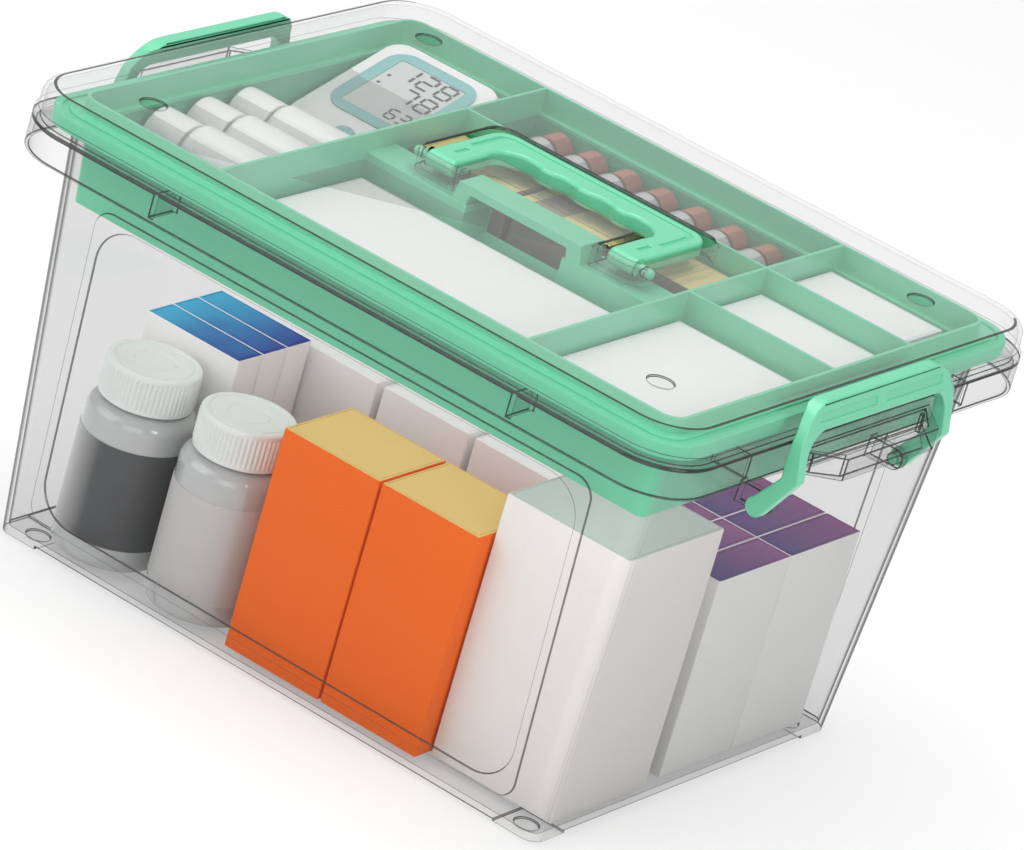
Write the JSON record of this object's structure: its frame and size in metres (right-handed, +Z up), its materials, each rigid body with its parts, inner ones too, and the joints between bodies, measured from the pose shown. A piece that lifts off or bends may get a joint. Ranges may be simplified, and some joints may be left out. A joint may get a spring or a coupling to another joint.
{
  "type": "first aid box",
  "caption": "Clear storage box for medicines with a lift-off lid, fold-down handle, end latches and a lift-out divided tray, packed with bare supplies.",
  "frame": {"origin": "middle of the box on the plane that its four feet stand on", "axes": "+X along the box towards the right latch, +Y towards the back, +Z up"},
  "size_m": [0.436, 0.316, 0.234],
  "materials": {
    "clear_plastic": "clear moulded plastic, glossy",
    "mint_plastic": "mint moulded plastic, satin gloss",
    "bottle_plastic": "white moulded plastic",
    "label_paper": "plain grey label paper",
    "orange_card": "printed orange carton board with tan ends",
    "white_card": "plain white carton board",
    "purple_card": "white carton board with a violet top",
    "blue_card": "white carton board with a blue top",
    "monitor_plastic": "white moulded casing",
    "teal_plastic": "teal printed panel",
    "screen_glass": "grey liquid crystal display",
    "yellow_card": "pale yellow carton board",
    "vial_plastic": "white vial",
    "cap_metal": "ribbed red-brown cap"
  },
  "bodies": {
    "tub": {"tub": "clear_plastic", "bottle_1_body": "bottle_plastic", "bottle_2_body": "bottle_plastic", "bottle_labels": "label_paper", "orange_carton_1": "orange_card", "orange_carton_2": "orange_card", "tall_carton": "white_card", "purple_carton_1": "purple_card", "purple_carton_2": "purple_card", "purple_carton_3": "purple_card", "purple_carton_4": "purple_card", "purple_carton_5": "purple_card", "purple_carton_6": "purple_card", "blue_carton_1": "blue_card", "blue_carton_2": "blue_card", "blue_carton_3": "blue_card", "white_carton_1": "white_card", "white_carton_2": "white_card", "white_carton_3": "white_card"},
    "lid": {"lid": "clear_plastic"},
    "lid_handle": {"lid_handle": "mint_plastic"},
    "latch_right": {"latch_right": "mint_plastic"},
    "latch_left": {"latch_left": "mint_plastic"},
    "tray": {"tray": "mint_plastic", "small_bottle_1_body": "bottle_plastic", "small_bottle_2_body": "bottle_plastic", "small_bottle_3_body": "bottle_plastic", "small_bottle_pack": "white_card", "monitor_case": "monitor_plastic", "monitor_bezel": "teal_plastic", "monitor_screen": "screen_glass", "monitor_pack": "white_card", "dressing_carton": "white_card", "column_carton_1": "white_card", "column_carton_2": "white_card", "column_carton_3": "white_card", "yellow_carton_1": "yellow_card", "yellow_carton_2": "yellow_card", "yellow_carton_3": "yellow_card", "vial_1_body": "vial_plastic", "vial_2_body": "vial_plastic", "vial_3_body": "vial_plastic", "vial_4_body": "vial_plastic", "vial_5_body": "vial_plastic", "vial_6_body": "vial_plastic", "vial_7_body": "vial_plastic", "vial_1_cap": "cap_metal", "vial_2_cap": "cap_metal", "vial_3_cap": "cap_metal", "vial_4_cap": "cap_metal", "vial_5_cap": "cap_metal", "vial_6_cap": "cap_metal", "vial_7_cap": "cap_metal", "vial_pack": "white_card"},
    "bottle_1_cap": {"bottle_1_cap": "bottle_plastic"},
    "bottle_2_cap": {"bottle_2_cap": "bottle_plastic"},
    "monitor_button": {"monitor_button": "teal_plastic"},
    "small_bottle_1_cap": {"small_bottle_1_cap": "bottle_plastic"},
    "small_bottle_2_cap": {"small_bottle_2_cap": "bottle_plastic"},
    "small_bottle_3_cap": {"small_bottle_3_cap": "bottle_plastic"}
  },
  "joints": [
    {"name": "lid_lift", "type": "slide", "parent": "tub", "child": "lid", "axis": [0, 0, 1], "range_m": [0, 0.16]},
    {"name": "tray_lift", "type": "slide", "parent": "tub", "child": "tray", "axis": [0, 0, 1], "range_m": [0, 0.08]},
    {"name": "latch_right_swing", "type": "hinge", "parent": "tub", "child": "latch_right", "pos_m": [0.1923, 0, 0.1779], "axis": [0, 1, 0], "range_deg": [0, 100]},
    {"name": "latch_left_swing", "type": "hinge", "parent": "tub", "child": "latch_left", "pos_m": [-0.1923, 0, 0.1779], "axis": [0, 1, 0], "range_deg": [-100, 0]},
    {"name": "lid_handle_swing", "type": "hinge", "parent": "lid", "child": "lid_handle", "pos_m": [0, -0.003, 0.2275], "axis": [1, 0, 0], "range_deg": [0, 90]},
    {"name": "monitor_button_press", "type": "slide", "parent": "tray", "child": "monitor_button", "axis": [0, 0.2756, -0.9613], "range_m": [0, 0.001], "stiffness_N_per_m": 300},
    {"name": "bottle_1_cap_turn", "type": "hinge", "parent": "tub", "child": "bottle_1_cap", "pos_m": [-0.124, -0.0938, 0.095], "axis": [0, 0, 1], "range_deg": [0, 180]},
    {"name": "bottle_2_cap_turn", "type": "hinge", "parent": "tub", "child": "bottle_2_cap", "pos_m": [-0.0645, -0.0938, 0.095], "axis": [0, 0, 1], "range_deg": [0, 180]},
    {"name": "small_bottle_1_cap_turn", "type": "hinge", "parent": "tray", "child": "small_bottle_1_cap", "pos_m": [-0.155, -0.077, 0.2037], "axis": [-1, 0, 0], "range_deg": [0, 180]},
    {"name": "small_bottle_2_cap_turn", "type": "hinge", "parent": "tray", "child": "small_bottle_2_cap", "pos_m": [-0.155, -0.044, 0.2037], "axis": [-1, 0, 0], "range_deg": [0, 180]},
    {"name": "small_bottle_3_cap_turn", "type": "hinge", "parent": "tray", "child": "small_bottle_3_cap", "pos_m": [-0.155, -0.011, 0.2037], "axis": [-1, 0, 0], "range_deg": [0, 180]}
  ],
  "couplings": [
    {"joint": "tray_lift", "follows": "lid_lift", "ratio": 0.5},
    {"joint": "latch_right_swing", "follows": "lid_lift", "rad_per_m": 10.907},
    {"joint": "latch_left_swing", "follows": "lid_lift", "rad_per_m": -10.907}
  ]
}
